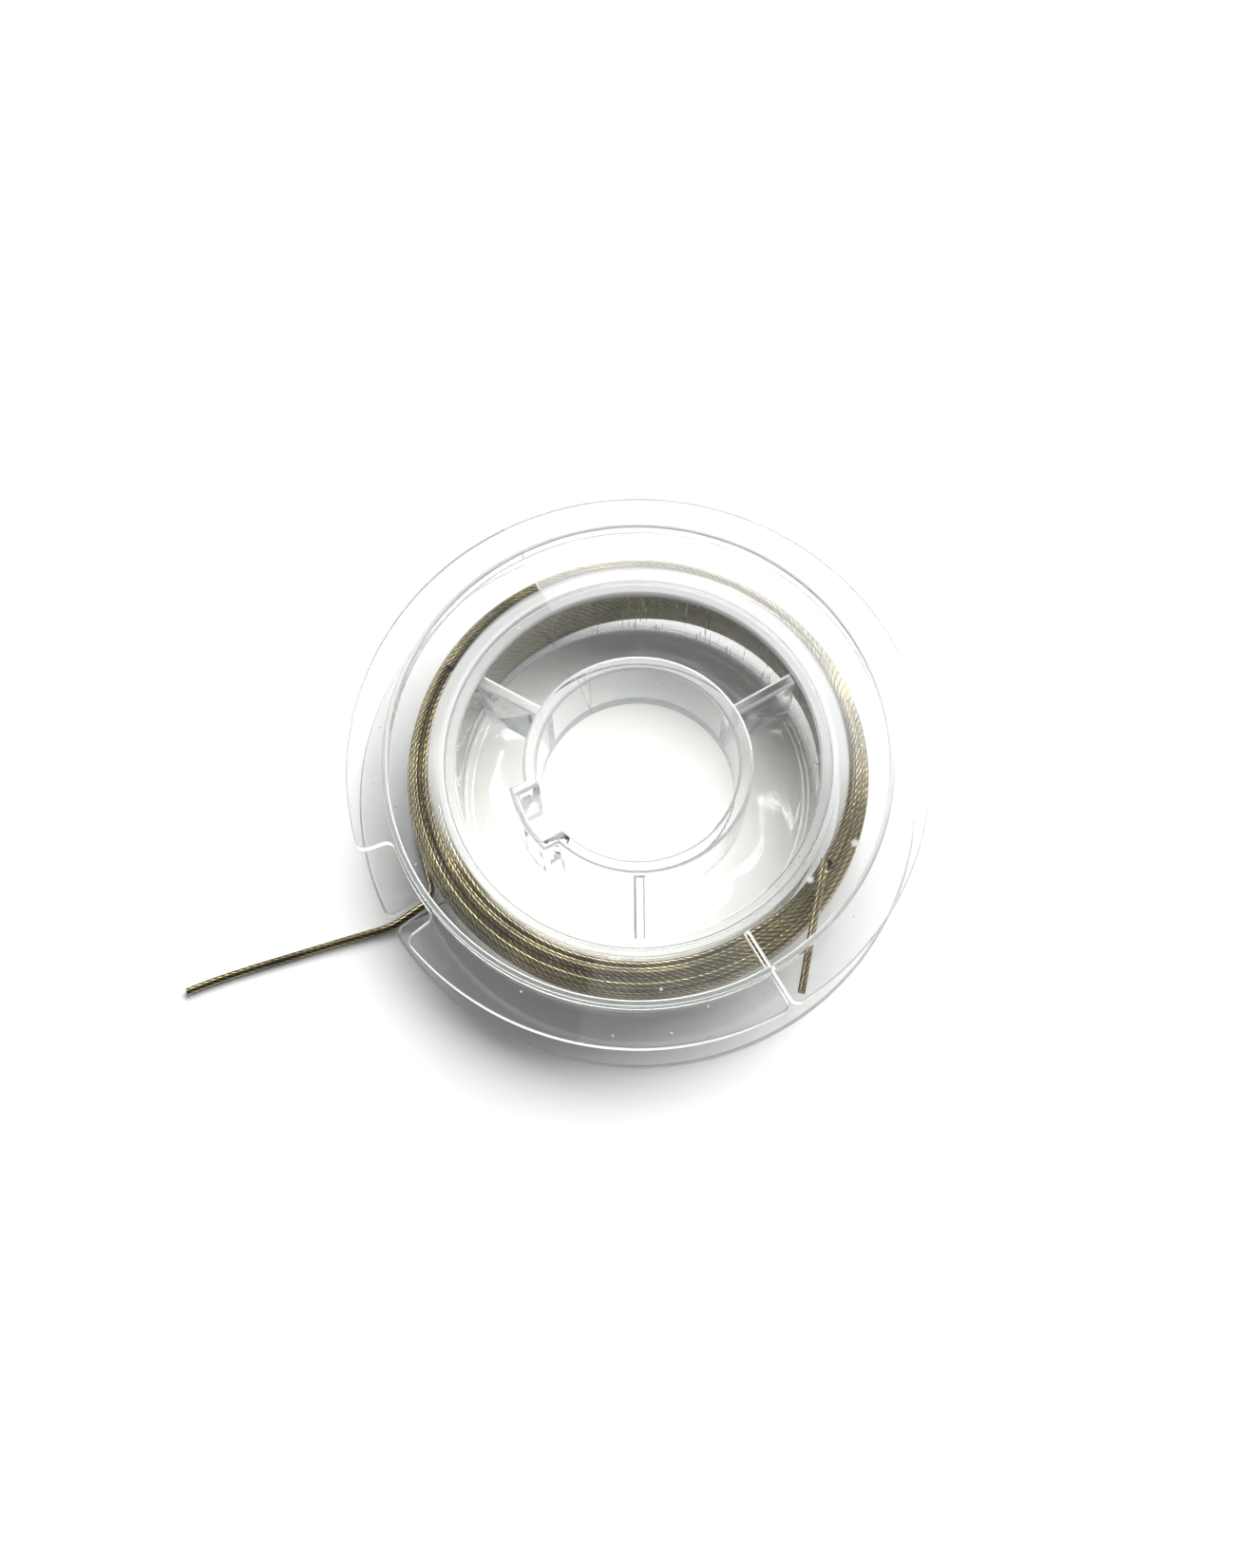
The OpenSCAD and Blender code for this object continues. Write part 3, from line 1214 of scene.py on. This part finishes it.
@dataclass
class Winding:
    """The wound wire: five layers, down and up along the drum, that swell like a barrel."""

    wire: StrandedWire
    start: Triple
    end: Triple
    layers: tuple[Layer, ...] = (
        Layer(0, 1.7, 10.5, True),
        Layer(1, 1.9, 10.0, False),
        Layer(2, 3.3, 8.5, True),
        Layer(3, 4.2, 6.5, False),
        Layer(4, 1.7, 10.5, True),
    )
    inner_r: float = 21.1
    outer_r: float = 23.7
    fattest_z: float = 7.0
    fall: float = 0.055
    top_fall: float = 0.18
    stand_off: float = 1.1
    stand_off_az: float = 30.0
    nest: float = 0.6
    step_deg: float = 1.8
    climb_deg: float = 70.0
    wobble: float = 0.05
    sways: tuple[Triple, ...] = ((0.61, 70.0, 1.0), (1.37, 40.0, 0.6))
    lifts: tuple[Triple, ...] = ((0.83, 110.0, 0.8),)
    lead_deg: float = 100.0
    swell_deg: float = 110.0

    def steps(self, layer: Layer) -> int:
        """Return how many steps a layer is drawn in."""
        return round(layer.turns * 360 / self.step_deg)

    def barrel(self, z: float) -> float:
        """Return the outer layer's radius at a height."""
        fall = self.top_fall if z > self.fattest_z else self.fall
        return self.outer_r - fall * (z - self.fattest_z) ** 2

    def radius(self, rank: float, z: float, az: float) -> float:
        """Work out how far from the axis a layer's wire is.

        Args:
            rank: The layer's number from the drum outwards, between two while it climbs.
            z: The height.
            az: The direction.

        Returns:
            The radius of the wire's middle.
        """
        last = len(self.layers) - 1
        away = max(0.0, math.cos(math.radians(az - self.stand_off_az)))
        inner = self.inner_r + self.stand_off * away
        outer = self.barrel(z)
        nest = min(self.nest, (outer - inner) / last)
        return max(self.inner_r, outer - nest * (last - rank))

    def unevenness(self, waves: tuple[Triple, ...], az: float, rank: int) -> float:
        """Return how far a layer strays in a direction: waves have a rate, a phase and a size."""
        return self.wobble * sum(
            size * math.sin(math.radians(az * rate + phase * rank)) for rate, phase, size in waves
        )

    def pass_points(self, layer: Layer, start_deg: float) -> list[Vector]:
        """Return one layer's points, from a direction on.

        Args:
            layer: The layer.
            start_deg: Direction of its first point.

        Returns:
            Points in millimetres.
        """
        count = self.steps(layer)
        points = []
        for i in range(count + 1):
            turned = i * self.step_deg
            share = i / count
            z = layer.high + (layer.low - layer.high) * (share if layer.falls else 1 - share)
            left = (count - i) * self.step_deg
            climb = 0.0
            if layer is not self.layers[-1]:
                climb += 0.5 * smooth_step(1 - left / self.climb_deg)
            if layer.rank > 0:
                climb -= 0.5 * (1 - smooth_step(turned / self.climb_deg))
            az = start_deg + turned
            r = self.radius(layer.rank + climb, z, az)
            r += self.unevenness(self.sways, az, layer.rank)
            x, y = polar(max(r, self.inner_r), az)
            points.append(Vector((x, y, z + self.unevenness(self.lifts, az, layer.rank))))
        return points

    def inner_path(self) -> list[Vector]:
        """Return the wire from the end of the start tail to the end of the fourth layer."""
        start = Vector(self.start)
        az = math.degrees(math.atan2(start.y, start.x))
        path = self.pass_points(self.layers[0], az)
        for i, point in enumerate(path):
            ease = 1 - smooth_step(i * self.step_deg / self.lead_deg)
            if ease <= 0:
                break
            out = point.to_2d().normalized() * (start.to_2d().length - self.inner_r) * ease
            point += Vector((out.x, out.y, (start.z - point.z) * ease))
        az += self.layers[0].turns * 360
        for layer in self.layers[1:-1]:
            path += self.pass_points(layer, az)[1:]
            az += layer.turns * 360
        return path

    def outer_path(self) -> list[Vector]:
        """Return the last layer, down to where the free end begins."""
        end = Vector(self.end)
        last = self.layers[-1]
        az = math.degrees(math.atan2(end.y, end.x)) - last.turns * 360
        path = self.pass_points(last, az)
        total = (len(path) - 1) * self.step_deg
        end_r = end.to_2d().length
        for i, point in enumerate(path):
            share = smooth_step((i * self.step_deg - total + self.swell_deg) / self.swell_deg)
            r = point.to_2d().length
            grown = point.to_2d().normalized() * (r + (end_r - r) * share)
            point.x, point.y = grown.x, grown.y
        return [*path[:-1], end]

    def build(self) -> None:
        """Wind the wire, each layer as a piece of its own."""
        inner = self.inner_path()
        parts = []
        for layer in self.layers[:-1]:
            parts.append((inner[: self.steps(layer) + 1], "wire_core"))
            inner = inner[self.steps(layer) :]
        parts.append((self.outer_path(), "wire_outer_layer"))
        for number, (path, node) in enumerate(parts, 1):
            self.wire.laid(f"wound_wire_layer_{number}", node, path)


@dataclass
class StartTail:
    """The wire's start, held between the winding and the upper flange."""

    wire: StrandedWire
    rim: Triple = (16.1, -24.2, 9.85)
    drum: Triple = (18.9, -10.4, 9.85)

    def build(self) -> None:
        """Lay the tail."""
        path = flowing([Vector(self.rim), Vector(self.drum)], self.wire.spacing)
        self.wire.laid("wire_tail", "wire_start_tail", path)


@dataclass
class FreeEnd:
    """The wire's free end, through the slot and out over the table."""

    wire: StrandedWire
    route: tuple[Triple, ...] = (
        (-22.9, -7.2, 1.7), (-22.7, -8, 1.7), (-22.3, -9.3, 1.7), (-21.85, -10.85, 1.7),
        (-21.75, -11.45, 1.7), (-21.9, -12, 1.68), (-22.2, -12.5, 1.6), (-22.7, -12.9, 1.45),
        (-23.4, -13.35, 1.25), (-24.2, -13.85, 0.98), (-25, -14.35, 0.75), (-25.8, -14.8, 0.57),
        (-26.6, -15.12, 0.47), (-27.6, -15.45, 0.42), (-29.2, -15.93, 0.4), (-31.2, -16.53, 0.4),
        (-33.2, -17.15, 0.4), (-35.1, -17.75, 0.4), (-37.1, -18.38, 0.4), (-39.1, -19, 0.4),
        (-41, -19.62, 0.4), (-43, -20.3, 0.4), (-44.9, -21, 0.4), (-47.1, -21.9, 0.4),
    )  # fmt: skip

    def build(self) -> None:
        points = [Vector(p) for p in self.route]
        path = flowing(points, self.wire.spacing)
        obj = self.wire.laid("free_wire_end", "wire_free_end", path)


# ---- studio -----------------------------------------------------------------------------------
@dataclass
class Studio:
    """The table, the light and the camera."""

    table: WhiteTable
    table_size: float = 4.0
    lamp_az: float = 61.0
    lamp_el: float = 39.0
    lamp_distance: float = 0.7
    lamp_width: float = 1.0
    lamp_height: float = 0.34
    lamp_power: float = 9.4
    side_az: float = 150.0
    side_el: float = 45.0
    side_size: float = 0.5
    side_power: float = 2.4
    bounces: int = 32
    air: str = "#f1f4f7"
    brightness: Ramp = Ramp(-0.3, 0.9, 0.03, 0.4)
    wall: str = "#9aa0a4"
    wall_height: Ramp = Ramp(0.0, 0.3, 1.0, 0.0)
    wall_behind: Ramp = Ramp(-0.6, 0.3, 0.2, 1.0)
    backdrop: str = "#ffffff"
    camera_place: Triple = (-0.001147, -0.06285, 0.18567)
    camera_tilt_deg: float = 19.029
    camera_lens: float = 41.44
    camera_sensor: float = 36.0
    camera_clip: tuple[float, float] = (0.01, 50.0)

    def camera(self) -> None:
        """Set the camera up."""
        data = bpy.data.cameras.new("camera")
        data.lens, data.sensor_width = self.camera_lens, self.camera_sensor
        data.sensor_fit = "AUTO"
        data.clip_start, data.clip_end = self.camera_clip
        camera = held_object("camera", data)
        camera.location = self.camera_place
        camera.rotation_euler = (math.radians(self.camera_tilt_deg), 0, 0)
        bpy.context.scene.camera = camera

    def floor(self) -> None:
        """Lay the table top."""
        bm = bmesh.new()
        bmesh.ops.create_grid(bm, x_segments=1, y_segments=1, size=self.table_size / 2)
        mesh = mesh_from(bm, "table")
        mesh.materials.append(self.table.material())
        held_object("table", mesh)

    def direction(self, az: float, el: float) -> Vector:
        """Return the direction at an azimuth and an elevation."""
        x, y = polar(math.cos(math.radians(el)), az)
        return Vector((x, y, math.sin(math.radians(el))))

    def lamps(self) -> None:
        """Hang a soft lamp, as wide as a window, and one that only gives glints."""
        window = bpy.data.lights.new("window_lamp", "AREA")
        window.shape, window.energy = "RECTANGLE", self.lamp_power
        window.size, window.size_y = self.lamp_width, self.lamp_height
        side = bpy.data.lights.new("side_lamp", "AREA")
        side.shape, side.size, side.energy = "DISK", self.side_size, self.side_power
        for data, az, el in (
            (window, self.lamp_az, self.lamp_el),
            (side, self.side_az, self.side_el),
        ):
            lamp = held_object(data.name, data)
            lamp.visible_diffuse = data is window
            away = self.direction(az, el)
            lamp.location = away * self.lamp_distance
            lamp.rotation_euler = away.to_track_quat("Z", "Y").to_euler()

    def sky(self) -> None:
        """Paint the room: pale walls low down, and dimmer the further it is from the lamp."""
        world = bpy.data.worlds.new("room")
        world.use_nodes = True
        tree = world.node_tree
        tree.nodes.clear()
        place = add_node(tree, "TexCoord").outputs["Generated"]
        lamp = {"operation": "DOT_PRODUCT", 1: tuple(self.direction(self.lamp_az, self.lamp_el))}
        facing = add_node(tree, "VectorMath", lamp, {0: place}).outputs["Value"]
        _, back, up = add_node(tree, "SeparateXYZ", links={0: place}).outputs
        glow = add_node(tree, "MapRange", self.brightness.settings(), {"Value": facing})
        low = add_node(tree, "MapRange", self.wall_height.settings(), {"Value": up})
        behind = add_node(tree, "MapRange", self.wall_behind.settings(), {"Value": back})
        walled = add_node(tree, "Math", {"operation": "MULTIPLY"}, {0: low, 1: behind})
        air = add_node(
            tree, "Mix", {"data_type": "RGBA", 6: (0, 0, 0, 1), 7: linear(self.air)}, {0: glow}
        ).outputs[2]
        room = add_node(
            tree, "Mix", {"data_type": "RGBA", 7: linear(self.wall)}, {0: walled, 6: air}
        ).outputs[2]
        lit = add_node(tree, "Background", links={"Color": room})
        white = add_node(tree, "Background", {"Color": linear(self.backdrop)})
        seen = add_node(tree, "LightPath").outputs["Is Camera Ray"]
        both = add_node(tree, "MixShader", links={0: seen, 1: lit, 2: white})
        add_node(tree, "OutputWorld", links={"Surface": both})
        bpy.context.scene.world = world

    def build(self) -> None:
        """Build the table, the lamps and the room."""
        self.floor()
        self.lamps()
        self.sky()
        scene = bpy.context.scene
        scene.view_settings.view_transform = "Standard"
        scene.cycles.max_bounces = scene.cycles.transmission_bounces = self.bounces


def main() -> None:
    """Build every piece in order."""
    logging.basicConfig(level=logging.INFO, format="%(name)s %(message)s")
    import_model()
    studio = Studio(WhiteTable())
    studio.camera()
    wire = StrandedWire(StrandedSteel().material())
    free_end, tail = FreeEnd(wire), StartTail(wire)
    for part in (free_end, tail, Winding(wire, tail.drum, free_end.route[0])):
        part.build()
    clear = ClearMoulding(ClearPolystyrene().material(), LitEdge().material())
    for part in (SpoolBase(Flange()), UpperFlange(Flange())):
        part.build(clear)
    studio.build()


if __name__ == "__main__":
    main()
